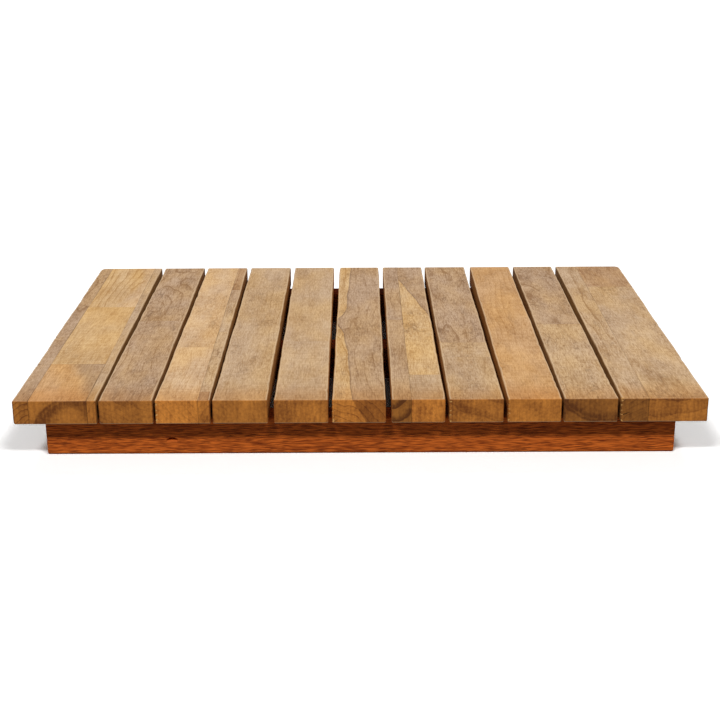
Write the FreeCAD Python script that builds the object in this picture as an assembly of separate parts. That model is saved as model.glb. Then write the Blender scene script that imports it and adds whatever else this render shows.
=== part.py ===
import FreeCAD, Part
import os

# Slatted teak bath mat: eleven glued-up slats on three hardwood rails, screwed from below.
# Millimetres. +X runs across the slats, +Y from the front edge to the back, +Z up.
# The origin is on the floor, under the middle of the mat.

# Slats, counted from the left. They lie front to back and fan out a little towards the back.
DEPTH = 457.0
SLAT_THICK = 22.0
ARRIS = 1.5
SLAT_WIDTHS = (73.8, 48.2, 48.8, 48.6, 47.8, 47.5, 47.5, 48.3, 48.1, 47.6, 77.0)
FRONT_GAPS = (1.2, 1.4, 1.4, 5.2, 3.2, 4.6, 2.8, 2.6, 1.4, 2.0)
BACK_GAPS = (3.1, 2.7, 3.4, 4.2, 6.0, 4.1, 3.0, 5.8, 4.0, 3.9)

# Rails: three equal bars under the slats, set in from the slats' ends and from the outer edges.
RAIL_LENGTH = 560.0
RAIL_THICK = 28.0
RAIL_HEIGHT = 34.0
RAIL_EASE = 2.0
OVERHANG = 13.0

# Screws: pan heads sunk in counterbores in the rails' undersides, points in the slats.
SHANK_D = 4.5
HEAD_D = 9.0
HEAD_HEIGHT = 3.0
HEAD_CROWN = 1.2
SCREW_LENGTH = 35.0
POINT_LENGTH = 5.0
POINT_D = 0.8
RECESS_SPAN = 4.6
RECESS_WIDTH = 1.0
RECESS_DEPTH = 1.6
COUNTERBORE_D = 10.5
COUNTERBORE_DEPTH = 14.0
RAIL_HOLE_D = 5.0
PILOT_D = 4.6
PILOT_DEPTH = 16.0

# What each slat is glued up from, left to right: a strip's name, its width (None takes the rest)
# and its butt joints, measured from the front edge. A slat that isn't named is one board.
LAYUP = {
    1: (("left_strip", 14.0, (100, 186)), ("board", None, (100, 291)), ("right_strip", 8.5, ())),
    2: (("board", None, (239,)),),
    3: (("board", None, (150,)), ("right_strip", 11.0, (22, 200, 307, 358))),
    5: (("board", None, (167,)),),
    7: (("left_strip", 17.5, (239,)), ("board", None, (65, 208))),
    8: (("board", None, (116, 161)),),
    10: (("board", None, (221,)),),
    11: (("left_strip", 24.6, ()), ("board", None, (365,))),
}
ONE_BOARD = (("board", None, ()),)
ONE_SCREW = (0.5,)
TWO_SCREWS = (0.25, 0.7)
WIDE_SLAT = 60.0

UNDERSIDE = RAIL_HEIGHT
FRONT = -DEPTH / 2
RAIL_INSET = OVERHANG + RAIL_THICK / 2
RAIL_PLACES = {"front_rail": FRONT + RAIL_INSET, "middle_rail": 0.0, "back_rail": -FRONT - RAIL_INSET}


def left_edges(gaps):
    """Each slat's left edge along X, with the row of slats and gaps centred on X = 0."""
    edges = [-(sum(SLAT_WIDTHS) + sum(gaps)) / 2]
    for width, gap in zip(SLAT_WIDTHS, gaps):
        edges.append(edges[-1] + width + gap)
    return edges


FRONT_EDGES = left_edges(FRONT_GAPS)
BACK_EDGES = left_edges(BACK_GAPS)


def slat_x(number, offset, y):
    """X of the line that runs at a constant offset from a slat's left edge, at a given Y."""
    share = (y - FRONT) / DEPTH
    left = FRONT_EDGES[number - 1] * (1 - share) + BACK_EDGES[number - 1] * share
    return left + offset


def slat_prism(number, start, end, y_front, y_back):
    """The slice of a slat between two offsets from its left edge and between two Y planes."""
    corners = [
        FreeCAD.Vector(slat_x(number, start, y_front), y_front, UNDERSIDE),
        FreeCAD.Vector(slat_x(number, end, y_front), y_front, UNDERSIDE),
        FreeCAD.Vector(slat_x(number, end, y_back), y_back, UNDERSIDE),
        FreeCAD.Vector(slat_x(number, start, y_back), y_back, UNDERSIDE),
    ]
    face = Part.Face(Part.makePolygon(corners + corners[:1]))
    return face.extrude(FreeCAD.Vector(0, 0, SLAT_THICK))


def screw_places(number):
    """Where the screws of one slat stand, as shares of the width that lies over each rail."""
    width = SLAT_WIDTHS[number - 1]
    shares = TWO_SCREWS if width > WIDE_SLAT else ONE_SCREW
    places = []
    for y in RAIL_PLACES.values():
        left = max(slat_x(number, 0, y), -RAIL_LENGTH / 2)
        right = min(slat_x(number, width, y), RAIL_LENGTH / 2)
        places += [(left + share * (right - left), y) for share in shares]
    return places


def whole_slat(number):
    """A slat as it is after gluing: outer edges rounded, pilot holes drilled from below."""
    blank = slat_prism(number, 0, SLAT_WIDTHS[number - 1], FRONT, -FRONT)
    slat = blank.makeFillet(ARRIS, blank.Edges)
    for x, y in screw_places(number):
        base = FreeCAD.Vector(x, y, UNDERSIDE)
        slat = slat.cut(Part.makeCylinder(PILOT_D / 2, PILOT_DEPTH, base))
    return slat


def staves(number):
    """The glued pieces of one slat, as a name and a solid each."""
    slat = whole_slat(number)
    width = SLAT_WIDTHS[number - 1]
    strips = LAYUP.get(number, ONE_BOARD)
    rest = width - sum(strip_width or 0 for _, strip_width, _ in strips)
    start = 0.0
    for strip, strip_width, joints in strips:
        end = start + (strip_width or rest)
        cuts = [FRONT] + [FRONT + joint for joint in joints] + [-FRONT]
        for place in range(len(cuts) - 1):
            length = slat_prism(number, start, end, cuts[place], cuts[place + 1])
            name = f"slat_{number:02d}_{strip}"
            if joints:
                name += f"_{place + 1}"
            yield name, slat.common(length).Solids[0]
        start = end


def rail(y):
    """One rail with a counterbored hole under every screw."""
    corner = FreeCAD.Vector(-RAIL_LENGTH / 2, y - RAIL_THICK / 2, 0)
    bar = Part.makeBox(RAIL_LENGTH, RAIL_THICK, RAIL_HEIGHT, corner)
    bar = bar.makeFillet(RAIL_EASE, bar.Edges)
    for number in range(1, len(SLAT_WIDTHS) + 1):
        for x, screw_y in screw_places(number):
            if screw_y == y:
                base = FreeCAD.Vector(x, y, 0)
                bar = bar.cut(Part.makeCylinder(RAIL_HOLE_D / 2, RAIL_HEIGHT, base))
                bar = bar.cut(Part.makeCylinder(COUNTERBORE_D / 2, COUNTERBORE_DEPTH, base))
    return bar


def screw(x, y):
    """A pan-head wood screw standing point up, its head's flat seat at the counterbore's end."""
    seat = COUNTERBORE_DEPTH
    head = Part.makeCone(HEAD_D / 2 - HEAD_CROWN, HEAD_D / 2, HEAD_HEIGHT,
                         FreeCAD.Vector(x, y, seat - HEAD_HEIGHT))
    straight = SCREW_LENGTH - POINT_LENGTH
    shank = Part.makeCylinder(SHANK_D / 2, straight, FreeCAD.Vector(x, y, seat))
    point = Part.makeCone(SHANK_D / 2, POINT_D / 2, POINT_LENGTH,
                          FreeCAD.Vector(x, y, seat + straight))
    body = head.fuse([shank, point])
    for long_x, long_y in ((RECESS_SPAN, RECESS_WIDTH), (RECESS_WIDTH, RECESS_SPAN)):
        corner = FreeCAD.Vector(x - long_x / 2, y - long_y / 2, seat - HEAD_HEIGHT)
        body = body.cut(Part.makeBox(long_x, long_y, RECESS_DEPTH, corner))
    return body.Solids[0]


def rail_screws(y):
    """All the screws of one rail, as separate solids in one group."""
    places = [p for number in range(1, len(SLAT_WIDTHS) + 1) for p in screw_places(number)]
    return Part.makeCompound([screw(x, screw_y) for x, screw_y in places if screw_y == y])


def save(name, shape):
    """Writes one sub-part to its own file."""
    shape.exportStep(f"parts/{name}.step")


os.makedirs("parts", exist_ok=True)
for slat_number in range(1, len(SLAT_WIDTHS) + 1):
    for stave_name, stave in staves(slat_number):
        save(stave_name, stave)
for rail_name, rail_y in RAIL_PLACES.items():
    save(rail_name, rail(rail_y))
    save(f"{rail_name}_screws", rail_screws(rail_y))
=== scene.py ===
import math
import bmesh
import bpy
import numpy as np
from mathutils import Matrix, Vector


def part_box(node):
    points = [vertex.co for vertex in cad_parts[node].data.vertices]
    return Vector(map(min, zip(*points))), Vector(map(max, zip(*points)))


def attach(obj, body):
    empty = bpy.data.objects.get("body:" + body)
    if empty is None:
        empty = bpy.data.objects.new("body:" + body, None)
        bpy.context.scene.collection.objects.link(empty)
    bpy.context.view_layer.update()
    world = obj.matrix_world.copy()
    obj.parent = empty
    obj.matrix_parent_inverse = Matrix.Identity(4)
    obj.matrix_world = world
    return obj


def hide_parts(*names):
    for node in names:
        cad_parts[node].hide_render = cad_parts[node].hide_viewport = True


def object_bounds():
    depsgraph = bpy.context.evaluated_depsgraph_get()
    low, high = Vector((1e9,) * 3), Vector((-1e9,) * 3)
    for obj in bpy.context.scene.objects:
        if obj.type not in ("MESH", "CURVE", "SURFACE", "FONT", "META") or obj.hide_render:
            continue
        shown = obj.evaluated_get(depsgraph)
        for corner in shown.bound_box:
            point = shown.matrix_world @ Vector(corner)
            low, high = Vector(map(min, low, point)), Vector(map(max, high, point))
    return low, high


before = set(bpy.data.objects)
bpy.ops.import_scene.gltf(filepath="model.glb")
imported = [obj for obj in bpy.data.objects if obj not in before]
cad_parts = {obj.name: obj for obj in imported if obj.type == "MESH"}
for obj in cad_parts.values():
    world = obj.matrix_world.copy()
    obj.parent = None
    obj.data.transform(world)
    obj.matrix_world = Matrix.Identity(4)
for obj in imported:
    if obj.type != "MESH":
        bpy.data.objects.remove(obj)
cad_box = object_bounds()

# The teak staves. Every slat is glued up from planed strips and lengths of teak, sanded flush,
# cut to length and then eased along its outer edges with sandpaper. The slats lie front to back
# on the rails, a few millimetres apart, and are screwed from below.
MM = 0.001
teak_nodes = sorted(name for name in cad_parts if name.startswith("slat_"))
SLATS_FRONT = min(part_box(name)[0].y for name in teak_nodes)
SLATS_BACK = max(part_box(name)[1].y for name in teak_nodes)
# Two faces closer than this are the same face.
SAME_FACE = 0.2 * MM
# How far in from a slat's end its outermost points are looked for.
END_ZONE = 2.5 * MM
# The mesh: steps round an arris, across a face and up a side, the distance between rings, and
# the shares of an end face's reach at which it has further rings.
ARC_STEPS = 4
FACE_STEPS = 8
SIDE_STEPS = 26
STATION = 3.0 * MM
NEAR_EDGE = 0.6 * MM
CAP_RINGS = (0.97, 0.8, 0.45, 0.15)
# The rounding of an open edge, of a glued edge, and the least that is ever left of one. An open
# edge's rounding wanders by a share of itself, and has nicks.
ARRIS = 1.2 * MM
GLUE_EDGE = 0.12 * MM
SHARPEST = 0.04 * MM
ARRIS_WANDER, ARRIS_WAVE = 0.35, 160 * MM
NICKS_PER_EDGE = 9
# Each nick's depth and half its length lie between these, in millimetres.
NICK_DEPTHS, NICK_REACHES = (0.2, 0.9), (2.5, 6)
# The sides: planed in by a flare behind the front end, and by a slow wander of the hand.
FLARE, FLARE_LENGTH = 0.25 * MM, 38 * MM
HAND_WANDER, HAND_WAVE = 0.32 * MM, 210 * MM
# The top: sanded to shallow dips.
SANDING_DIP, SANDING_WAVE = 0.14 * MM, 120 * MM
# The sawn ends: their arris is ragged up the sides, and their lower edge is rubbed light.
RAG_WAVE = 16 * MM
LOWER_LIP = 0.9
# The mat's two back corners are rounded off, seen from above.
CORNER_ROUND = 6.5 * MM
BACK_CORNERS = (("slat_01", -1), ("slat_11", 1))
# Saw tear-out on a front corner: how deep it bites, how far it runs in from the end, how far
# apart the bites are up the corner, and the depth at which the fibres show.
TEAR_DEPTH, TEAR_RUN, TEAR_WAVE = 1.5 * MM, 1.6 * MM, 5.2 * MM
TORN_SHOWS = 0.25 * MM
TORN_LEFT_CORNERS = ("slat_03", "slat_06", "slat_08", "slat_09", "slat_11")


def waver(place, seed, longest):
    """A smooth wander between -1 and 1: three sine waves, each shorter and lower than the last,
    with phases drawn from the seed."""
    phases = np.random.default_rng(seed).uniform(0, 2 * math.pi, 3)
    waves = ((1.0, 0.5), (0.43, 0.3), (0.17, 0.2))
    parts = [height * np.sin(2 * math.pi * place / (longest * share) + phase)
             for (share, height), phase in zip(waves, phases)]
    return sum(parts)


def plan_line(points, side):
    """A stave's left (-1) or right (+1) face seen from above, as x = start + slope * y: the line
    through its outermost points near the front end and near the back end."""
    y = points[:, 1]
    near = points[y < y.min() + END_ZONE]
    far = points[y > y.max() - END_ZONE]
    near_point = near[np.argmax(side * near[:, 0])]
    far_point = far[np.argmax(side * far[:, 0])]
    slope = (far_point[0] - near_point[0]) / (far_point[1] - near_point[1])
    return near_point[0] - slope * near_point[1], slope


def shares_between(length, steps):
    """Shares of a straight side from just inside one corner to just inside the other."""
    inset = min(NEAR_EDGE / length, 0.2)
    return np.linspace(inset, 1 - inset, steps + 1)


def stave_outline(width, height):
    """A stave's cross-section, anticlockwise from its lower left corner: for each point the share
    across (u), the share up (v) and the angle that its face looks at. Four quarter arcs, with
    straight sides between them."""
    arc = np.linspace(0, math.pi / 2, ARC_STEPS + 1)
    flat = shares_between(width, FACE_STEPS)
    upright = shares_between(height, SIDE_STEPS)
    pieces = []
    corners = ((0, 0, math.pi), (1, 0, 1.5 * math.pi), (1, 1, 0), (0, 1, 0.5 * math.pi))
    sides = ((flat, 0 * flat), (0 * upright + 1, upright), (flat[::-1], 0 * flat + 1),
             (0 * upright, upright[::-1]))
    for (u, v, start), (side_u, side_v) in zip(corners, sides):
        end = start + math.pi / 2
        pieces.append(np.stack([0 * arc + u, 0 * arc + v, arc + start]))
        pieces.append(np.stack([side_u, side_v, 0 * side_u + end]))
    return np.concatenate(pieces, axis=1)


def worn_radius(y, eased, seed):
    """The rounding along one long edge: a hand-eased arris that wanders in width and has a few
    small nicks, each a bell curve in depth. A glued edge is only just broken."""
    if not eased:
        return np.full_like(y, GLUE_EDGE)
    draw = np.random.default_rng(seed + 50)
    radius = ARRIS * (1 + ARRIS_WANDER * waver(y, seed, ARRIS_WAVE))
    for _ in range(NICKS_PER_EDGE):
        place = draw.uniform(SLATS_FRONT, SLATS_BACK)
        depth = draw.uniform(*NICK_DEPTHS) * MM
        reach = draw.uniform(*NICK_REACHES) * MM
        radius = radius + depth * np.exp(-((y - place) / reach) ** 2)
    return radius


def closed_tube(name, rings, first_pole, last_pole):
    """A closed mesh from rings of points, (rings, points, xyz), joined by quads and shut at both
    ends by a fan of triangles to a pole. Each ring runs anticlockwise as seen from the first
    pole, so the faces look outwards."""
    count, around = rings.shape[:2]
    points = np.concatenate([rings.reshape(-1, 3), [first_pole, last_pole]])
    ring, place = np.meshgrid(np.arange(count - 1), np.arange(around), indexing="ij")
    after = (place + 1) % around
    quads = np.stack([ring * around + place, (ring + 1) * around + place,
                      (ring + 1) * around + after, ring * around + after], axis=-1)
    edge = np.arange(around)
    following = (edge + 1) % around
    first_fan = np.stack([edge, following, 0 * edge + count * around], axis=-1)
    base = (count - 1) * around
    last_fan = np.stack([base + following, base + edge, 0 * edge + count * around + 1], axis=-1)
    faces = quads.reshape(-1, 4).tolist() + first_fan.tolist() + last_fan.tolist()
    mesh = bpy.data.meshes.new(name)
    mesh.from_pydata(points.tolist(), [], faces)
    mesh.polygons.foreach_set("use_smooth", np.ones(len(faces), bool))
    piece = bpy.data.objects.new(name, mesh)
    bpy.context.scene.collection.objects.link(piece)
    return piece


def paint(piece, name, values, pole_values):
    """Stores one number per point for the finish to read: the rings' values, then the poles'."""
    layer = piece.data.attributes.new(name, "FLOAT", "POINT")
    layer.data.foreach_set("value", np.append(values.ravel(), pole_values).astype(np.float32))


def heartwood_reach(rings, left_line, top, side, slant, route):
    """How far past the sapwood line each point lies, in millimetres: its place across, less the
    line's, which is the route's straight runs averaged over LINE_ROUNDING and leant over with
    depth. Given for the rings and for the two poles."""
    back = rings[..., 1] - SLATS_FRONT
    shifts = np.linspace(-0.5, 0.5, LINE_SAMPLES) * LINE_ROUNDING
    across = np.mean([np.interp(back + shift, *route) for shift in shifts], axis=0)
    line = left_line[0] + left_line[1] * rings[..., 1] + across
    reach = side * (rings[..., 0] - line - slant * (top - rings[..., 2])) / MM
    return reach, reach[[0, -1]].mean(axis=1)


def stave(node, slat_points, seed):
    """One stave, as rings of its cross-section carried from the front to the back between its two
    plan lines. At each end the ring turns in round an arris to the end's flat face. What shows
    where is painted on the points: worn edges, open sides, glue seams, sawn ends, torn fibres and
    the reach into the heartwood."""
    points = np.array([v.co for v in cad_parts[node].data.vertices])
    low, high = points.min(0), points.max(0)
    middle = (low[1] + high[1]) / 2
    lines = [plan_line(points, side) for side in (-1, 1)]
    slat_lines = [plan_line(slat_points, side) for side in (-1, 1)]
    at_middle = [a + b * middle for a, b in lines]
    slat_at_middle = [a + b * middle for a, b in slat_lines]
    eased = [abs(a - b) < SAME_FACE for a, b in zip(at_middle, slat_at_middle)]
    cut_ends = [abs(low[1] - SLATS_FRONT) < SAME_FACE, abs(high[1] - SLATS_BACK) < SAME_FACE]
    width = at_middle[1] - at_middle[0]
    u, v, turn = stave_outline(width, high[2] - low[2])

    height_up = v * (high[2] - low[2])
    end_radius = [np.full_like(u, GLUE_EDGE) for _ in cut_ends]
    for end, cut in enumerate(cut_ends):
        if cut:
            rag = waver(height_up, seed + 7 * end, RAG_WAVE) * (np.abs(np.cos(turn)) > 0.5)
            end_radius[end] = ARRIS * (0.75 + 0.5 * np.maximum(rag, 0))
    bend = np.linspace(math.pi / 2, 0, ARC_STEPS + 1)
    reach = [radius.max() + NEAR_EDGE for radius in end_radius]
    body_count = max(2, round((high[1] - low[1] - sum(reach)) / STATION))
    body = np.linspace(low[1] + reach[0], high[1] - reach[1], body_count)
    if cut_ends[1]:
        near_corner = high[1] - reach[1] - CORNER_ROUND * np.linspace(0.05, 1, 8) ** 2
        body = np.sort(np.concatenate([body, near_corner]))
        body_count = len(body)
    bends = np.concatenate([bend, 0 * body, bend[::-1]])[:, None]
    y = np.concatenate([
        low[1] + end_radius[0] * (1 - np.sin(bend))[:, None],
        np.repeat(body[:, None], len(u), axis=1),
        high[1] - end_radius[1] * (1 - np.sin(bend[::-1]))[:, None],
    ])
    inset = np.concatenate([
        end_radius[0] * (1 - np.cos(bend))[:, None],
        np.zeros((body_count, len(u))),
        end_radius[1] * (1 - np.cos(bend[::-1]))[:, None],
    ])
    broken = np.minimum(inset, GLUE_EDGE)
    bites = np.maximum(waver(height_up, seed + 31, TEAR_WAVE) - 0.1, 0)
    torn = TEAR_DEPTH * bites * np.exp(-(y - low[1]) / TEAR_RUN)

    edges = []
    radii = []
    for side, (start, slope), is_eased in zip((-1, 1), lines, eased):
        edge_seed = int(node[5:7]) * 10 + side + 5
        planed_in = 0.0
        if is_eased:
            flare = FLARE * (1 - np.exp(-(y - SLATS_FRONT) / FLARE_LENGTH))
            planed_in = flare + HAND_WANDER * (1 + waver(y, edge_seed, HAND_WAVE))
        turned_in = inset if is_eased else broken
        if (node[:7], side) in BACK_CORNERS and is_eased:
            past = np.clip(CORNER_ROUND - (high[1] - y), 0, CORNER_ROUND)
            planed_in = planed_in + CORNER_ROUND - np.sqrt(CORNER_ROUND ** 2 - past ** 2)
        if is_eased and side < 0 and node[:7] in TORN_LEFT_CORNERS:
            turned_in = turned_in + torn
        edges.append(start + slope * y - side * (planed_in + turned_in))
        radii.append(np.maximum(worn_radius(y, is_eased, edge_seed) - turned_in, SHARPEST))
    radius = radii[0] * (1 - u) + radii[1] * u
    x = (edges[0] + radii[0]) * (1 - u) + (edges[1] - radii[1]) * u + radius * np.cos(turn)
    dip = SANDING_DIP * (0.5 + 0.5 * waver(y + 0.7 * x, seed, SANDING_WAVE))
    top = high[2] - inset - dip
    z = (low[2] + inset + radius) * (1 - v) + (top - radius) * v + radius * np.sin(turn)

    rings = np.stack([x, y, z], axis=-1)
    first_centre, last_centre = rings[0].mean(0), rings[-1].mean(0)
    first_cap = [first_centre + share * (rings[0] - first_centre) for share in CAP_RINGS[::-1]]
    last_cap = [last_centre + share * (rings[-1] - last_centre) for share in CAP_RINGS]
    rings = np.concatenate([first_cap, rings, last_cap])
    piece = closed_tube(node + "_teak", rings, first_centre, last_centre)

    on_corner = ((u == 0) | (u == 1)) & ((v == 0) | (v == 1))
    side_eased = np.where(u < 0.5, eased[0], eased[1])
    cap = np.zeros((len(CAP_RINGS), len(u)))
    turned = np.sin(bends) * np.ones(len(u))
    end_cut = np.concatenate([[cut_ends[0]] * len(bend), [False] * body_count,
                              [cut_ends[1]] * len(bend)])[:, None]
    rim = (turned > 0) & (turned < 1)
    # The open sides, which the finish darkens with painted shade.
    on_side = np.abs(np.cos(turn)) * side_eased * ((u == 0) | (u == 1)) * (turned < 1)
    shoulder = np.clip(2.4 * np.sin(turn) - 1.4, 0, 1)
    wear = on_corner * side_eased * (turned == 0) * (v > 0.5) * shoulder
    wear = np.maximum(wear, LOWER_LIP * rim * end_cut * (v == 0) * (np.sin(turn) < -0.3))
    seam = np.maximum(on_corner * ~side_eased + 0 * turned, rim * ~end_cut)
    end_face = np.clip(turned * 1.6 - 0.6, 0, 1) * end_cut
    paint(piece, "wear", np.concatenate([cap, wear, cap]), [0, 0])
    paint(piece, "side", np.concatenate([cap, on_side, cap]), [0, 0])
    paint(piece, "seam", np.concatenate([cap, seam, cap]), [0, 0])
    caps = [cap + cut for cut in cut_ends]
    paint(piece, "end_face", np.concatenate([caps[0], end_face, caps[1]]), cut_ends)
    if node[:7] in TORN_LEFT_CORNERS and eased[0]:
        broken_out = np.clip(torn / TORN_SHOWS, 0, 1) * (u == 0)
        paint(piece, "torn", np.concatenate([cap, broken_out, cap]), [0, 0])
    if node in HEARTWOOD:
        _, _, side, slant, route = HEARTWOOD[node]
        paint(piece, "heartwood", *heartwood_reach(rings, slat_lines[0], high[2], side, slant,
                                                   np.array(route).T * MM))
    return piece


def add(tree, kind, inputs=None, **settings):
    """Adds a shader node. An input is a plain value or another node's output."""
    made = tree.nodes.new("ShaderNode" + kind)
    for name, value in settings.items():
        setattr(made, name, value)
    for name, value in (inputs or {}).items():
        socket = made.inputs[name]
        if isinstance(value, bpy.types.NodeSocket):
            tree.links.new(value, socket)
        else:
            socket.default_value = value
    return made


def sums(tree, operation, *values):
    """A Math node's result."""
    return add(tree, "Math", dict(enumerate(values)), operation=operation).outputs[0]


def step_up(tree, value, low, high):
    """Rises smoothly from 0 to 1 as value goes from low to high."""
    inputs = {"Value": value, "From Min": low, "From Max": high}
    return add(tree, "MapRange", inputs, interpolation_type="SMOOTHSTEP").outputs[0]


def fall_away(tree, value, low, high):
    """Falls smoothly from 1 to 0 as value goes from low to high."""
    return sums(tree, "SUBTRACT", 1.0, step_up(tree, value, low, high))


def swing(tree, noise, strength, base):
    """base + strength * (noise - 1/2): a noise's swing about its middle, added to a base."""
    return sums(tree, "MULTIPLY_ADD", sums(tree, "SUBTRACT", noise, 0.5), strength, base)


def bell(tree, place, x, y, narrow_x, narrow_y):
    """exp(-((x' * narrow_x)^2 + (y' * narrow_y)^2)), where x' and y' run from a point given in
    millimetres. 1 at that point, and nothing well away from it."""
    aside = add(tree, "VectorMath", {0: place, 1: (x * MM, y * MM, 0)},
                operation="SUBTRACT").outputs[0]
    oval = add(tree, "VectorMath", {0: aside, 1: (narrow_x, narrow_y, 0)},
               operation="MULTIPLY").outputs[0]
    square = add(tree, "VectorMath", {0: oval, 1: oval}, operation="DOT_PRODUCT")
    return sums(tree, "POWER", math.exp(-1), square.outputs["Value"])


def painted(tree, name):
    """A number that was painted on the mesh's points."""
    return add(tree, "Attribute", attribute_name=name).outputs["Fac"]


def darken(tree, share, colour, by):
    """A colour, multiplied by another as far as the share says."""
    return tint(tree, share, colour, tint(tree, 1.0, colour, by, "MULTIPLY"))


def tint(tree, share, under, over, how="MIX"):
    """Two colours mixed by a share."""
    made = add(tree, "Mix", {0: share, 6: under, 7: over}, data_type="RGBA", blend_type=how)
    return made.outputs[2]


def fibres(tree, place, across, along, detail=3.0, axis=1):
    """Noise stretched along the grain: so many repeats per metre across it and along it."""
    scale = [across, across, across]
    scale[axis] = along
    stretched = add(tree, "Mapping", {"Vector": place, "Scale": scale}).outputs[0]
    inputs = {"Vector": stretched, "Scale": 1.0, "Detail": detail, "Roughness": 0.55}
    return add(tree, "TexNoise", inputs).outputs[0]


def linear(red, green, blue):
    """A colour as a paint chart gives it, 0 to 255, turned into light."""
    chart = np.array([red, green, blue]) / 255
    light = np.where(chart <= 0.04045, chart / 12.92, ((chart + 0.055) / 1.055) ** 2.4)
    return (*light.tolist(), 1.0)


def teak(name, tone, seed, pith, rings, flecks, end_tone, end_rings, ring_gap, knots, second,
         side_painted_light):
    """Sanded bare teak. Growth rings are circles about a pith line that runs along the board, so
    they show as curved bands on the end and as long flames on the top. A knot pushes the rings
    aside round itself. Fibres, pores and mineral streaks are noise drawn out along the grain.
    second is the tone that the heartwood attribute turns the board to, and the last argument is
    painted light that lightens the open sides, which the finish darkens with painted shade."""
    material = bpy.data.materials.new(name)
    material.use_nodes = True
    tree = material.node_tree
    shader = tree.nodes["Principled BSDF"]
    place = add(tree, "TexCoord").outputs["Object"]
    draw = np.random.default_rng(seed)
    own = add(tree, "Mapping", {"Vector": place, "Location": draw.uniform(-3, 3, 3),
                                "Rotation": (0, 0, draw.uniform(-0.03, 0.03))}).outputs[0]
    noise = {kind: fibres(tree, own, *repeats) for kind, repeats in GRAIN.items()}

    away = add(tree, "VectorMath", {0: place, 1: (pith[0] * MM, 0, pith[1] * MM)},
               operation="SUBTRACT").outputs[0]
    flat = add(tree, "VectorMath", {0: away, 1: (1, 0, 1)}, operation="MULTIPLY").outputs[0]
    from_pith = add(tree, "VectorMath", {0: flat}, operation="LENGTH").outputs["Value"]
    bent = sums(tree, "MULTIPLY_ADD", noise["wide"], 30 * MM, from_pith)
    bent = sums(tree, "MULTIPLY_ADD", noise["drift"], 6 * MM, bent)
    for x, y, reach, push in knots:
        bulge = bell(tree, place, x, y, 1 / (reach * MM), 0.45 / (reach * MM))
        bent = sums(tree, "MULTIPLY_ADD", bulge, push * MM, bent)
    phase = sums(tree, "FRACT", sums(tree, "DIVIDE", bent, ring_gap * MM))
    fineness = USUAL_RING_GAP / ring_gap
    late = sums(tree, "MULTIPLY", step_up(tree, phase, 0.35, 0.9),
                fall_away(tree, phase, 1 - 0.08 / fineness, 1.0))
    thin = sums(tree, "MULTIPLY", step_up(tree, phase, 0.8, 0.9),
                fall_away(tree, phase, 0.9, 0.97))
    patchy = step_up(tree, noise["patches"], 0.42, 0.62)

    # Light to dark: the fibres first, then the rings.
    crisp = 0.6 + 0.8 * flecks
    depth = swing(tree, noise["coarse"], 0.55, 0.45)
    depth = swing(tree, noise["fine"], 1.8 * crisp, depth)
    depth = swing(tree, noise["grit"], 0.6 * crisp, depth)
    depth = swing(tree, noise["cloud"], 0.95, depth)
    depth = swing(tree, noise["cross"], 0.7, depth)
    lines = sums(tree, "MULTIPLY", late, patchy)
    depth = sums(tree, "MULTIPLY_ADD", lines, 0.34 * rings, depth)
    depth = sums(tree, "MULTIPLY_ADD", sums(tree, "MULTIPLY", thin, patchy), 0.95 * rings, depth)
    colour = tint(tree, depth, *TONES[tone])
    if second:
        reached = swing(tree, noise["drift"], 6.0, painted(tree, "heartwood"))
        second_tone, softness = second
        other = tint(tree, depth, *TONES[second_tone])
        past = step_up(tree, reached, -softness, softness)
        colour = tint(tree, past, colour, other)
        near = sums(tree, "MULTIPLY", past, fall_away(tree, reached, 0.0, 3.0 * softness))
        line_share = sums(tree, "MULTIPLY", near, 0.8 / (1 + softness))
        colour = tint(tree, line_share, colour, HEARTWOOD_LINE)
    for x, y, reach, _ in knots:
        heart = bell(tree, place, x, y, 3.2 / (reach * MM), 2 / (reach * MM))
        colour = tint(tree, sums(tree, "MULTIPLY", heart, 0.18), colour, KNOT_HEART)

    # Mineral streaks, open pores and hair cracks.
    mineral = step_up(tree, noise["mineral"], 0.58, 0.72)
    colour = tint(tree, sums(tree, "MULTIPLY", mineral, 0.38 * flecks), colour, MINERAL_STREAK)
    dots = sums(tree, "MULTIPLY", step_up(tree, noise["pores"], 0.6, 0.7),
                step_up(tree, noise["sparse"], 0.45, 0.6))
    colour = tint(tree, sums(tree, "MULTIPLY", dots, 0.55 * flecks), colour, OPEN_PORE)
    winding = sums(tree, "ABSOLUTE", sums(tree, "SUBTRACT", noise["winding"], 0.5))
    hair = sums(tree, "MULTIPLY", fall_away(tree, winding, 0.0, 0.022),
                step_up(tree, noise["cloud"], 0.44, 0.6))
    colour = tint(tree, sums(tree, "MULTIPLY", hair, 0.5 * flecks), colour, HAIR_CRACK)
    warmth = step_up(tree, noise["warmth"], 0.3, 0.7)
    colour = tint(tree, 1.0, colour, tint(tree, warmth, COOLER, WARMER), "MULTIPLY")

    from_front = add(tree, "SeparateXYZ", {0: place}).outputs["Y"]
    from_front = swing(tree, noise["cloud"], 30 * MM, from_front)
    soaked = fall_away(tree, from_front, SLATS_FRONT + SOAKED_START, SLATS_FRONT + SOAKED_LENGTH)
    colour = darken(tree, soaked, colour, SOAKED_TINT)

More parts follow.
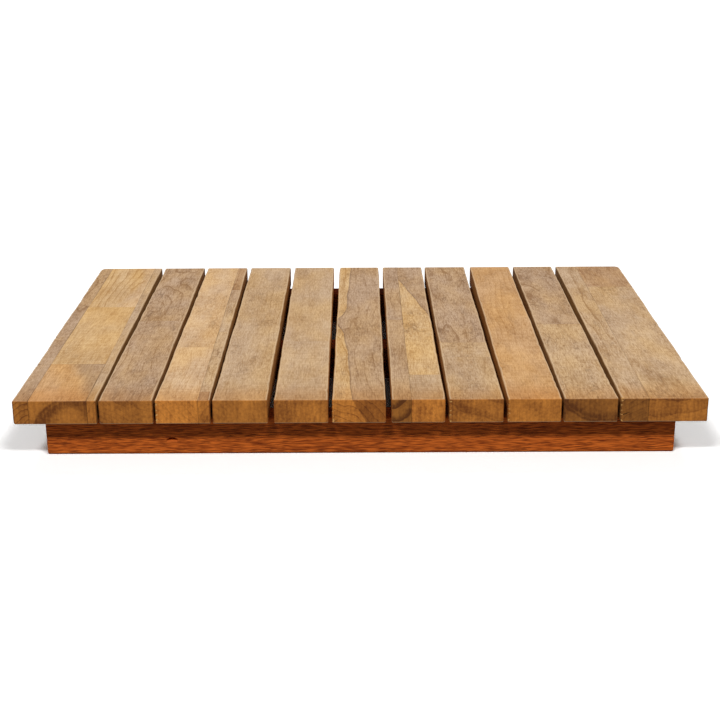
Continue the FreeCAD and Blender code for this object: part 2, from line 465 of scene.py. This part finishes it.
    # The sawn ends, with the same rings and their own saw marks.
    upright = fibres(tree, add(tree, "Mapping", {"Vector": own, "Scale": (1, 1, 0.08)}).outputs[0],
                     520.0, 520.0, 3.0)
    end_depth = swing(tree, upright, 0.8, 0.5)
    end_depth = swing(tree, noise["saw"], 0.8, end_depth)
    end_depth = swing(tree, noise["cloud"], 1.3, end_depth)
    end_depth = sums(tree, "MULTIPLY_ADD", late, 0.34 * end_rings / fineness ** 0.6, end_depth)
    end_depth = sums(tree, "MULTIPLY_ADD", thin, 0.9 * fineness ** 0.5 * end_rings, end_depth)
    end_cut = tint(tree, end_depth, *END_TONES)
    end_cut = tint(tree, 1.0, end_cut, (end_tone, end_tone, end_tone, 1), "MULTIPLY")
    if second:
        end_cut = darken(tree, past, end_cut, HEART_END)
    colour = tint(tree, painted(tree, "end_face"), colour, end_cut)

    # The open sides darkened with painted shade, lightened with painted light towards the middle,
    # then worn edges, torn fibres and glue lines.
    side_shade_tone = (*(SIDE_PAINTED_SHADE * side_painted_light).tolist(), 1.0)
    colour = darken(tree, painted(tree, "side"), colour, side_shade_tone)
    colour = tint(tree, sums(tree, "MULTIPLY", painted(tree, "wear"), 0.6), colour, WORN_EDGE)
    torn = sums(tree, "MULTIPLY", painted(tree, "torn"), step_up(tree, noise["saw"], 0.42, 0.56))
    colour = tint(tree, torn, colour, TORN_FIBRES)
    open_seam = step_up(tree, noise["seams"], 0.40, 0.62)
    seam_share = sums(tree, "MULTIPLY", painted(tree, "seam"),
                      sums(tree, "MULTIPLY_ADD", open_seam, 0.5, 0.12))
    colour = tint(tree, seam_share, colour, GLUE_LINE)
    tree.links.new(colour, shader.inputs["Base Color"])

    rough = sums(tree, "MULTIPLY_ADD", noise["coarse"], 0.2, 0.5)
    tree.links.new(rough, shader.inputs["Roughness"])
    shader.inputs["Specular IOR Level"].default_value = 0.25
    relief = sums(tree, "MULTIPLY_ADD", dots, -0.6, noise["fine"])
    bump = add(tree, "Bump", {"Strength": 0.35, "Distance": 0.25 * MM, "Height": relief})
    tree.links.new(bump.outputs[0], shader.inputs["Normal"])
    return material


# The noises in the teak: repeats per metre across the grain, repeats per metre along it, and
# detail.
GRAIN = {
    "wide": (14.0, 3.0, 2.0),
    "drift": (60.0, 9.0, 3.0),
    "patches": (30.0, 8.0, 2.0),
    "fine": (1000.0, 110.0, 3.0),
    "grit": (800.0, 420.0, 1.0),
    "coarse": (240.0, 16.0, 3.0),
    "cloud": (34.0, 17.0, 2.0),
    "cross": (60.0, 380.0, 3.0),
    "sparse": (60.0, 25.0, 2.0),
    "mineral": (150.0, 20.0, 4.0),
    "pores": (620.0, 210.0, 1.0),
    "winding": (62.0, 24.0, 3.0),
    "warmth": (26.0, 9.0, 3.0),
    "saw": (420.0, 420.0, 2.0),
    "seams": (30.0, 11.0, 2.0),
}
# Light and dark wood of each tone.
TONES = {
    "grey": (linear(212, 178, 142), linear(160, 122, 86)),
    "tan": (linear(222, 189, 150), linear(172, 133, 92)),
    "pale": (linear(238, 202, 158), linear(190, 146, 100)),
    "golden": (linear(234, 196, 144), linear(184, 138, 84)),
    "amber": (linear(230, 184, 132), linear(178, 128, 76)),
    "brown": (linear(208, 170, 130), linear(156, 112, 74)),
}
# The same on a sawn end, and how the heartwood darkens it there.
END_TONES = (linear(216, 139, 57), linear(120, 66, 21))
HEART_END = (0.60, 0.55, 0.52, 1.0)
# Slow drifts of hue along a board.
COOLER, WARMER = (0.97, 1.0, 1.09, 1), (1.04, 1.0, 0.86, 1)
HEARTWOOD_LINE = linear(96, 60, 34)
KNOT_HEART = linear(120, 74, 44)
MINERAL_STREAK = linear(122, 90, 66)
OPEN_PORE = linear(118, 76, 46)
HAIR_CRACK = linear(104, 70, 46)
WORN_EDGE = linear(226, 196, 158)
GLUE_LINE = linear(96, 66, 44)
TORN_FIBRES = linear(226, 172, 100)
# Painted shade on the slats' open sides: the colour that darkens them as the shaded gaps look,
# then how much painted light lightens the middle slats' sides, and how far from the middle that
# reaches, in millimetres.
SIDE_PAINTED_SHADE = np.array((0.54, 0.41, 0.24))
SIDE_PAINTED_LIGHT, SIDE_PAINTED_LIGHT_REACH = 0.8, 115
# Oil has soaked in from the sawn front ends and browned the wood there.
SOAKED_TINT = (0.90, 0.75, 0.57, 1.0)
SOAKED_START, SOAKED_LENGTH = 3 * MM, 48 * MM

# Each stave's tone, how strongly its rings and its flecks show on top, where its pith lies, in
# millimetres across and up from its own middle, how light its sawn end is, and how strongly the
# rings show there.
STAVE_LOOKS = {
    "slat_01_left_strip_1": ("grey", 0.5, 0.5, (30, -60), 0.94, 0.5),
    "slat_01_left_strip_2": ("grey", 0.4, 0.6, (-40, -30), 1.0, 0.2),
    "slat_01_left_strip_3": ("grey", 0.5, 0.8, (10, -70), 1.0, 0.2),
    "slat_01_board_1": ("amber", 0.3, 0.4, (20, -24), 0.92, 0.9),
    "slat_01_board_2": ("golden", 0.2, 0.3, (20, -90), 1.0, 0.2),
    "slat_01_board_3": ("golden", 0.6, 0.3, (45, -50), 1.0, 0.2),
    "slat_01_right_strip": ("tan", 0.7, 0.4, (60, -20), 1.04, 0.2),
    "slat_02_board_1": ("grey", 0.5, 0.7, (30, 60), 0.95, 0.15),
    "slat_02_board_2": ("grey", 0.65, 0.9, (0, -60), 1.0, 0.2),
    "slat_03_board_1": ("pale", 0.25, 0.4, (-70, -60), 1.4, 0.15),
    "slat_03_board_2": ("pale", 0.3, 0.5, (-50, -70), 1.0, 0.2),
    "slat_03_right_strip_1": ("brown", 0.4, 0.4, (40, -20), 1.22, 0.2),
    "slat_03_right_strip_2": ("tan", 0.4, 0.8, (50, -30), 1.0, 0.2),
    "slat_03_right_strip_3": ("tan", 0.4, 0.7, (-30, -50), 1.0, 0.2),
    "slat_03_right_strip_4": ("grey", 0.5, 0.4, (20, -70), 1.0, 0.2),
    "slat_03_right_strip_5": ("brown", 0.4, 0.5, (20, -40), 1.0, 0.2),
    "slat_04_board": ("tan", 0.3, 0.5, (-90, -40), 0.95, 0.1),
    "slat_05_board_1": ("tan", 0.15, 0.35, (100, -30), 1.12, 0.1),
    "slat_05_board_2": ("tan", 0.2, 0.35, (90, -50), 1.0, 0.1),
    "slat_06_board": ("golden", 0.45, 0.6, (-40, -55), 1.34, 0.3),
    "slat_07_left_strip_1": ("grey", 0.5, 0.6, (-16, 30), 0.68, 1.0),
    "slat_07_left_strip_2": ("grey", 0.4, 0.6, (40, -60), 1.0, 0.2),
    "slat_07_board_1": ("tan", 0.2, 0.3, (-70, -40), 1.45, 0.1),
    "slat_07_board_2": ("golden", 0.2, 0.7, (-60, -60), 1.0, 0.2),
    "slat_07_board_3": ("golden", 0.3, 0.7, (50, -70), 1.0, 0.2),
    "slat_08_board_1": ("tan", 0.3, 0.5, (30, 60), 1.12, 0.3),
    "slat_08_board_2": ("tan", 0.2, 0.6, (60, -40), 1.0, 0.2),
    "slat_08_board_3": ("grey", 0.6, 0.9, (-20, -60), 1.0, 0.2),
    "slat_09_board": ("amber", 0.3, 0.35, (70, -50), 1.1, 0.05),
    "slat_10_board_1": ("tan", 0.5, 0.8, (6, 34), 0.68, 0.75),
    "slat_10_board_2": ("grey", 0.65, 0.8, (-10, -60), 1.0, 0.2),
    "slat_11_left_strip": ("tan", 0.6, 0.7, (40, -60), 0.60, 0.25),
    "slat_11_board_1": ("tan", 0.35, 0.65, (-10, 90), 0.98, 0.3),
    "slat_11_board_2": ("brown", 0.4, 0.5, (20, -60), 1.0, 0.2),
}
# Millimetres from one ring to the next, where it isn't the usual one.
USUAL_RING_GAP = 5.0
RING_GAPS = {
    "slat_01_board_1": 32.0,
    "slat_07_left_strip_1": 12.0,
    "slat_08_board_1": 18.4,
    "slat_10_board_1": 22.0,
    "slat_11_board_1": 14.0,
}
# Knots and swirls: millimetres across from the mat's middle and back from the front of the
# slats, how far round it the grain bends, and by how much.
KNOTS = {
    "slat_02_board_2": ((-203, 398, 18, 9), (-226, 290, 16, -9)),
    "slat_06_board": ((-30, 228, 16, 15),),
    "slat_08_board_3": ((152, 318, 24, 10),),
    "slat_10_board_2": ((190, 322, 18, 9), (226, 262, 14, -8)),
    "slat_10_board_1": ((196, 52, 22, 12), (224, 150, 16, -8)),
    "slat_01_board_3": ((-234, 318, 24, -13),),
    "slat_03_board_2": ((-142, 250, 14, 6),),
    "slat_11_board_1": ((262, 180, 26, 10),),
}
# Where golden sapwood meets grey heartwood: the heartwood's tone, half the width over which one
# turns to the other, the side the heartwood lies on (+1 right), how far the line leans to the
# right per millimetre down, and the line itself, as millimetres back from the front and across
# from the slat's left edge.
HEARTWOOD = {
    "slat_06_board": ("grey", 0.7, 1, 0.6, ((0, 17.6), (50, 15), (134, 13), (196, 8), (224, 0),
                                            (240, 0), (270, 10), (360, 12), (457, 13.5))),
    "slat_07_board_3": ("grey", 0.6, 1, 0.0, ((208, 55), (245, 48), (400, 17), (457, 6))),
    "slat_01_board_3": ("pale", 5.0, 1, 0.0, ((291, 44), (340, 52), (400, 60), (457, 50))),
    "slat_01_board_1": ("grey", 9.0, 1, 0.0, ((0, 66), (50, 54), (100, 34))),
}
# The line's corners are rounded off by a running mean over this length.
LINE_ROUNDING, LINE_SAMPLES = 26 * MM, 13

slat_clouds = {}
for name in teak_nodes:
    corners = np.array([v.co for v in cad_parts[name].data.vertices])
    slat_clouds.setdefault(name[:7], []).append(corners)
for number, name in enumerate(teak_nodes):
    tone, rings, flecks, pith, end_tone, end_rings = STAVE_LOOKS[name]
    low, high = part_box(name)
    centre = (low + high) / 2 / MM
    piece = stave(name, np.concatenate(slat_clouds[name[:7]]), 100 + number)
    knots = [(x, SLATS_FRONT / MM + back, reach, push) for x, back, reach, push in
             KNOTS.get(name, ())]
    second = HEARTWOOD[name][:2] if name in HEARTWOOD else None
    # The last argument is painted light on the open sides, strongest on the middle slats.
    finish = teak(piece.name, tone, 300 + number, (centre.x + pith[0], centre.z + pith[1]), rings,
                  flecks, end_tone, end_rings, RING_GAPS.get(name, USUAL_RING_GAP), knots, second,
                  1 + SIDE_PAINTED_LIGHT * math.exp(-(centre.x / SIDE_PAINTED_LIGHT_REACH) ** 2))
    piece.data.materials.append(finish)
    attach(piece, "root")
    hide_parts(name)

# The rails: three planed bars of reddish-brown tropical hardwood that run across under the
# slats. Each has a counterbored hole for every screw, from below, and the front one has an open
# check in its face.
RAILS = ("front_rail", "middle_rail", "back_rail")
RAIL_LIGHT, RAIL_DARK, RAIL_PORE = linear(218, 111, 39), linear(128, 53, 14), linear(66, 25, 8)
# The rounding of a rail's long edges and of its ends, and the mesh's steps along and round it.
RAIL_EASE = 2.0 * MM
RAIL_END_EASE = 1.2 * MM
RAIL_STATION = 4.0 * MM
RAIL_FACE_STEP = 2.0 * MM
PLANING_DIP, PLANING_WAVE = 0.12 * MM, 110 * MM
# Edges that turn by more than this are shaded sharp.
SHARP_TURN = math.radians(40)
# The screws' counterbores and holes, how far a cutter stands out past the rail, and how close
# two points are joined after a cut.
COUNTERBORE_RADIUS, COUNTERBORE_DEPTH = 5.25 * MM, 14 * MM
HOLE_RADIUS = 2.5 * MM
CUT_CLEARANCE = 1 * MM
CUTTER_SIDES = 32
WELD_REACH = 0.02 * MM
# The check: a shallow arch, its ends lower than its middle. The mesh has finer steps within
# CHECK_REACH of it.
CHECK_X, CHECK_Z = -168 * MM, 13 * MM
CHECK_LENGTH, CHECK_RISE = 10 * MM, 1.3 * MM
CHECK_WIDTH, CHECK_DEPTH = 1.4 * MM, 7.0 * MM
CHECK_REACH_X, CHECK_REACH_Z = 0.6 * CHECK_LENGTH, 2.6 * MM
CHECK_STEP = 0.3 * MM


def hardwood(name, seed):
    """Oiled red hardwood: long streaks and short dark pores, drawn out along X."""
    material = bpy.data.materials.new(name)
    material.use_nodes = True
    tree = material.node_tree
    shader = tree.nodes["Principled BSDF"]
    place = add(tree, "TexCoord").outputs["Object"]
    offset = np.random.default_rng(seed).uniform(-3, 3, 3)
    own = add(tree, "Mapping", {"Vector": place, "Location": offset}).outputs[0]
    broad = fibres(tree, own, 170.0, 9.0, 3.0, axis=0)
    streak = fibres(tree, own, 1450.0, 92.0, 1.0, axis=0)
    pores = step_up(tree, fibres(tree, own, 1000.0, 95.0, 2.0, axis=0), 0.57, 0.68)
    cloud = fibres(tree, own, 60.0, 14.0, 3.0, axis=0)
    depth = swing(tree, streak, 3.2, 0.45)
    depth = swing(tree, broad, 0.75, depth)
    depth = swing(tree, cloud, 0.5, depth)
    colour = tint(tree, depth, RAIL_LIGHT, RAIL_DARK)
    colour = tint(tree, sums(tree, "MULTIPLY", pores, 0.5), colour, RAIL_PORE)
    tree.links.new(colour, shader.inputs["Base Color"])
    shader.inputs["Roughness"].default_value = 0.6
    shader.inputs["Specular IOR Level"].default_value = 0.12
    bump = add(tree, "Bump", {"Strength": 0.4, "Distance": 0.3 * MM,
                              "Height": sums(tree, "SUBTRACT", streak, pores)})
    tree.links.new(bump.outputs[0], shader.inputs["Normal"])
    return material


def finer_near(low, high, step, place, reach, fine_step):
    """Even steps from low to high, with finer ones within reach of place."""
    even = np.linspace(low, high, round((high - low) / step) + 1)
    near = np.arange(place - reach, place + reach, fine_step)
    outside = even[np.abs(even - place) > reach + fine_step]
    inside = near[(near > low) & (near < high)]
    return np.sort(np.concatenate([outside, inside]))


def check_depth(x, z):
    """How deep the check goes at a point of the face: a bell across its arched middle line, which
    fades to nothing at both ends."""
    along = (x - CHECK_X) / (CHECK_LENGTH / 2)
    arch = CHECK_Z + CHECK_RISE * (1 - along ** 2)
    fade = np.clip(1 - along ** 2, 0, 1) ** 0.7
    return CHECK_DEPTH * fade * np.exp(-((z - arch) / (CHECK_WIDTH * (0.35 + 0.35 * fade))) ** 2)


def rail_bar(name, low, high, seed, checked):
    """A bar as rings of a rounded rectangle, carried along X. The face dips and swells a little
    from hand planing, and each end turns in round an arris to a flat end."""
    depth, height = high.y - low.y, high.z - low.z
    arc = np.linspace(0, math.pi / 2, ARC_STEPS + 1)
    flat = np.linspace(RAIL_EASE, depth - RAIL_EASE, round(depth / RAIL_FACE_STEP))[1:-1]
    face = finer_near(RAIL_EASE, height - RAIL_EASE, RAIL_FACE_STEP, CHECK_Z + CHECK_RISE / 2,
                      CHECK_REACH_Z, CHECK_STEP)[1:-1]
    corners = ((depth, 0, -math.pi / 2), (depth, height, 0), (0, height, math.pi / 2),
               (0, 0, math.pi))
    sides = ((0 * face + depth, face), (flat[::-1], 0 * flat + height), (0 * face, face[::-1]),
             (flat, 0 * flat))
    pieces = []
    for (y, z, start), (side_y, side_z) in zip(corners, sides):
        centre_y = y + RAIL_EASE * (1 if y == 0 else -1)
        centre_z = z + RAIL_EASE * (1 if z == 0 else -1)
        pieces.append(np.stack([centre_y + RAIL_EASE * np.cos(arc + start),
                                centre_z + RAIL_EASE * np.sin(arc + start)]))
        pieces.append(np.stack([side_y, side_z]))
    outline = np.concatenate(pieces, axis=1)

    body = finer_near(low.x + RAIL_END_EASE, high.x - RAIL_END_EASE, RAIL_STATION, CHECK_X,
                      CHECK_REACH_X, CHECK_STEP)
    bend = arc[:-1]
    x = np.concatenate([low.x + RAIL_END_EASE * (1 - np.cos(bend)), body,
                        high.x - RAIL_END_EASE * (1 - np.cos(bend[::-1]))])
    inset = np.concatenate([RAIL_END_EASE * (1 - np.sin(bend)), 0 * body,
                            RAIL_END_EASE * (1 - np.sin(bend[::-1]))])
    middle = np.array([depth / 2, height / 2])[:, None]
    shrink = 1 - inset[:, None, None] / middle
    ring = middle + (outline - middle) * shrink
    x = x[:, None] * np.ones(outline.shape[1])
    y, z = ring[:, 0], ring[:, 1]
    on_front = np.clip(1 - y / RAIL_EASE, 0, 1)
    y = y + on_front * PLANING_DIP * (0.5 + 0.5 * waver(x + z, seed, PLANING_WAVE))
    if checked:
        y = y + on_front * check_depth(x, z)
    rings = np.stack([x, y + low.y, z + low.z], axis=-1)
    ends = [rings[0].mean(0), rings[-1].mean(0)]
    ends[0][0], ends[1][0] = low.x, high.x
    caps = [[end + share * (ring - end) for share in CAP_RINGS]
            for end, ring in zip(ends, (rings[0], rings[-1]))]
    rings = np.concatenate([caps[0][::-1], rings, caps[1]])
    return closed_tube(name, rings[:, ::-1], *ends)


def screw_cutter(place, low_z, high_z):
    """A stepped round cutter: the counterbore below, the shank hole above."""
    turn = np.linspace(0, 2 * math.pi, CUTTER_SIDES, endpoint=False)
    ledge = low_z + COUNTERBORE_DEPTH
    steps = ((COUNTERBORE_RADIUS, low_z - CUT_CLEARANCE), (COUNTERBORE_RADIUS, ledge),
             (HOLE_RADIUS, ledge), (HOLE_RADIUS, high_z + CUT_CLEARANCE))
    rings = np.array([np.stack([place[0] + radius * np.cos(turn), place[1] + radius * np.sin(turn),
                                0 * turn + z], axis=-1) for radius, z in steps])
    return closed_tube("cutter", rings[:, ::-1], (*place, steps[0][1]), (*place, steps[-1][1]))


def weld(mesh):
    """Joins the points that a cut leaves closer together than WELD_REACH, and drops the slivers
    between them, so that the mesh stays closed."""
    cut = bmesh.new()
    cut.from_mesh(mesh)
    bmesh.ops.remove_doubles(cut, verts=cut.verts, dist=WELD_REACH)
    bmesh.ops.dissolve_degenerate(cut, edges=cut.edges, dist=WELD_REACH)
    cut.to_mesh(mesh)
    cut.free()


def screw_places(node):
    """The middle of each screw of a group, seen from below: its points sorted across and parted
    wherever there is a gap."""
    points = np.array([v.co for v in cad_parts[node].data.vertices])
    points = points[points[:, 0].argsort()]
    parts = np.flatnonzero(np.diff(points[:, 0]) > HOLE_RADIUS) + 1
    return [(group.min(0)[:2] + group.max(0)[:2]) / 2 for group in np.split(points, parts)]


for number, name in enumerate(RAILS):
    low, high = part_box(name)
    rail = rail_bar(name + "_wood", low, high, 600 + number, name == "front_rail")
    for place in screw_places(name + "_screws"):
        cutter = screw_cutter(place, low.z, high.z)
        cut = rail.modifiers.new("hole", "BOOLEAN")
        cut.operation, cut.solver, cut.object = "DIFFERENCE", "MANIFOLD", cutter
        bpy.context.view_layer.update()
        drilled = bpy.data.meshes.new_from_object(
            rail.evaluated_get(bpy.context.evaluated_depsgraph_get()))
        rail.modifiers.clear()
        rail.data = drilled
        bpy.data.objects.remove(cutter)
        weld(rail.data)
    rail.data.materials.clear()
    rail.data.materials.append(hardwood(name + "_wood", 700 + number))
    rail.data.set_sharp_from_angle(angle=SHARP_TURN)
    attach(rail, "root")
    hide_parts(name)

# The screws: plain stainless wood screws, sunk in the rails from below. They keep the shape
# that their CAD nodes have, and only take a finish here.
STEEL = (0.62, 0.61, 0.58, 1)
steel = bpy.data.materials.new("screw_steel")
steel.use_nodes = True
steel_shader = steel.node_tree.nodes["Principled BSDF"]
steel_shader.inputs["Metallic"].default_value = 1.0
steel_shader.inputs["Base Color"].default_value = STEEL
steel_shader.inputs["Roughness"].default_value = 0.34
for name in RAILS:
    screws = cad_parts[name + "_screws"]
    screws.data.materials.clear()
    screws.data.materials.append(steel)

# The studio: a plain white floor, soft lamps on both sides of the front, and an even sky. The
# floor and the sky each have one brightness as the camera sees them, which is white, and a lower
# one for the light that they throw on to the mat. Both are the same all over.
FLOOR_REACH = 30.0
FLOOR_SEEN, FLOOR_THROWS = 1.25, 0.31
SKY_SEEN, SKY_THROWS = 1.0, 0.125
WHITE = (1, 1, 1, 1)
floor_mesh = bpy.data.meshes.new("floor")
floor_corners = [(-FLOOR_REACH, -FLOOR_REACH, 0), (FLOOR_REACH, -FLOOR_REACH, 0),
                 (FLOOR_REACH, FLOOR_REACH, 0), (-FLOOR_REACH, FLOOR_REACH, 0)]
floor_mesh.from_pydata(floor_corners, [], [(0, 1, 2, 3)])
floor = bpy.data.objects.new("floor", floor_mesh)
bpy.context.scene.collection.objects.link(floor)
floor_paint = bpy.data.materials.new("floor_paint")
floor_paint.use_nodes = True
floor_tree = floor_paint.node_tree
floor_tree.nodes.remove(floor_tree.nodes["Principled BSDF"])
floor_bounce = add(floor_tree, "BsdfDiffuse", {"Color": (FLOOR_THROWS,) * 3 + (1,)})
floor_white = add(floor_tree, "BsdfDiffuse", {"Color": (FLOOR_SEEN,) * 3 + (1,)})
seen_floor = add(floor_tree, "LightPath").outputs["Is Camera Ray"]
floor_mix = add(floor_tree, "MixShader", {0: seen_floor, 1: floor_bounce.outputs[0],
                                          2: floor_white.outputs[0]})
floor_tree.links.new(floor_mix.outputs[0], floor_tree.nodes["Material Output"].inputs["Surface"])
floor_mesh.materials.append(floor_paint)

# Soft lamps in a row to the left and right of the front, and a weaker pair behind. The slats'
# shadow comes down the front rail by SHADOW_DROP for each millimetre that they overhang it.
SHADOW_DROP = 1.47
LAMP_SOFTNESS = math.radians(7)
FRONT_AZIMUTHS, FRONT_POWER = (-44, -36, -28, 28, 36, 44), 0.475
BACK_AZIMUTHS, BACK_POWER = (145, -145), 0.37
for azimuth in FRONT_AZIMUTHS + BACK_AZIMUTHS:
    lamp = bpy.data.lights.new("lamp", "SUN")
    lamp.energy = BACK_POWER if azimuth in BACK_AZIMUTHS else FRONT_POWER
    lamp.angle = LAMP_SOFTNESS
    around = math.radians(azimuth)
    elevation = math.atan(SHADOW_DROP * abs(math.cos(around)))
    stand = bpy.data.objects.new("lamp", lamp)
    bpy.context.scene.collection.objects.link(stand)
    stand.matrix_world = (Matrix.Rotation(around, 4, "Z")
                          @ Matrix.Rotation(math.pi / 2 - elevation, 4, "X"))
sky = bpy.data.worlds.new("studio")
sky.use_nodes = True
sky_tree = sky.node_tree
glow = sky_tree.nodes["Background"]
glow.inputs["Color"].default_value = WHITE
glow.inputs["Strength"].default_value = SKY_THROWS
backdrop = add(sky_tree, "Background", {"Color": WHITE, "Strength": SKY_SEEN})
seen = add(sky_tree, "LightPath").outputs["Is Camera Ray"]
both = add(sky_tree, "MixShader", {0: seen, 1: glow.outputs[0], 2: backdrop.outputs[0]})
sky_tree.links.new(both.outputs[0], sky_tree.nodes["World Output"].inputs["Surface"])
bpy.context.scene.world = sky
bpy.context.scene.view_settings.view_transform = "Standard"

# The camera stands in front of the mat and looks down along the slats. It is placed from the
# slats' front edge and from the top of the mat, and its angles are in degrees.
LENS, SENSOR = 65.0, 36.0
PITCH, YAW, ROLL = 18.64, 0.10, -0.30
CAMERA_BACK = 1.0629
CAMERA_RISE = 0.3949
CAMERA_SIDE = 0.0018
eye = bpy.data.cameras.new("camera")
eye.lens = LENS
eye.sensor_width = SENSOR
camera = bpy.data.objects.new("camera", eye)
bpy.context.scene.collection.objects.link(camera)
camera.matrix_world = (
    Matrix.Translation((CAMERA_SIDE, SLATS_FRONT - CAMERA_BACK, cad_box[1].z + CAMERA_RISE))
    @ Matrix.Rotation(math.radians(YAW), 4, "Z")
    @ Matrix.Rotation(math.radians(90 - PITCH), 4, "X")
    @ Matrix.Rotation(math.radians(ROLL), 4, "Z")
)
bpy.context.scene.camera = camera
